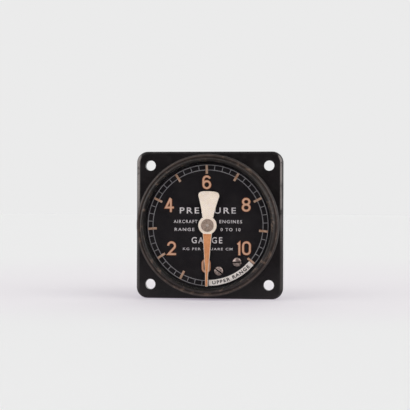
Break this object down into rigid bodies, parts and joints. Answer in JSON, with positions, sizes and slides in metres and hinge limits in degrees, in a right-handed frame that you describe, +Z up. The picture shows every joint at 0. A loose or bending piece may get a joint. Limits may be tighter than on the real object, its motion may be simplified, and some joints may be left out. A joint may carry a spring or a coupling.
{
  "type": "pressure gauge",
  "caption": "Round panel pressure gauge on a square flange: a curved tube turns a pointer over a plain dial through a link, sector and pinion.",
  "frame": {"origin": "centre of the panel bolt pattern, on the dial's axis, at the flange's front face", "axes": "+Z up, +X to the reader's right, the dial faces -Y and the union points along +Y"},
  "size_m": [0.06, 0.0539, 0.06],
  "materials": {
    "case_moulding": "black moulded resin, satin, dusty and lightly rubbed",
    "bezel_paint": "worn brownish black enamel on a turned ring",
    "window_glass": "flat clear glass",
    "seal_rubber": "matt black seal",
    "spacer_black": "matt black",
    "dial_paint": "matt black dial paint with cream and tan marks",
    "screw_steel": "dull plated steel",
    "fibre": "red brown vulcanised fibre",
    "arbor_steel": "polished steel",
    "spring_bronze": "thin bronze strip",
    "tube_bronze": "drawn bronze tube",
    "movement_brass": "machined brass",
    "cap_metal": "lathe turned grey cap",
    "pointer_paint": "cream enamel",
    "lume": "grainy orange luminous paint"
  },
  "bodies": {
    "root": {"case": "case_moulding", "bezel_ring": "bezel_paint", "glass": "window_glass", "glass_gasket": "seal_rubber", "spacer_ring": "spacer_black", "dial_plate": "dial_paint", "dial_screws": "screw_steel", "socket_block": "movement_brass", "socket_gasket": "fibre", "passage_plug": "movement_brass", "union_nipple": "movement_brass", "union_washer": "fibre", "restrictor_screw": "screw_steel", "back_screws": "screw_steel", "bourdon_tube": "tube_bronze", "movement_back_plate": "movement_brass", "movement_front_plate": "movement_brass", "movement_pillars": "movement_brass", "front_plate_screws": "screw_steel", "back_plate_screws": "screw_steel", "sector_stop_pin": "arbor_steel", "hairspring_stud": "movement_brass"},
    "sector": {"sector_gear": "movement_brass", "sector_arbor": "arbor_steel", "tail_pin": "arbor_steel"},
    "pointer": {"hairspring": "spring_bronze", "hairspring_collet": "movement_brass", "pointer_arbor": "arbor_steel", "pinion": "arbor_steel", "hub_boss": "cap_metal", "pointer_blade": "pointer_paint", "pointer_lume": "lume"},
    "link_arm": {"link": "movement_brass"},
    "tube_tip": {"tip_block": "movement_brass", "tip_pin": "arbor_steel"}
  },
  "joints": [
    {"name": "sector_swing", "type": "hinge", "parent": "root", "child": "sector", "pos_m": [0.01068, 0.0021, 0.00161], "axis": [0, 1, 0], "range_deg": [-43, 0], "stiffness_Nm_per_rad": 0.002, "springref_deg": 11.46},
    {"name": "pointer_spin", "type": "hinge", "parent": "root", "child": "pointer", "pos_m": [0, 0, 0], "axis": [0, 1, 0], "range_deg": [0, 344], "deforming": ["hairspring"]},
    {"name": "link_swing", "type": "hinge", "parent": "sector", "child": "link_arm", "pos_m": [0.01375, 0.0008, -0.00027], "axis": [0, 1, 0], "range_deg": [0, 43]},
    {"name": "tip_slide", "type": "slide", "parent": "root", "child": "tube_tip", "axis": [0.1736, 0, 0.9848], "range_m": [0, 0.00264], "deforming": ["bourdon_tube"]}
  ],
  "couplings": [
    {"joint": "pointer_spin", "follows": "sector_swing", "ratio": -8},
    {"joint": "link_swing", "follows": "sector_swing", "ratio": -1},
    {"joint": "tip_slide", "follows": "sector_swing", "m_per_rad": -0.0035161}
  ]
}
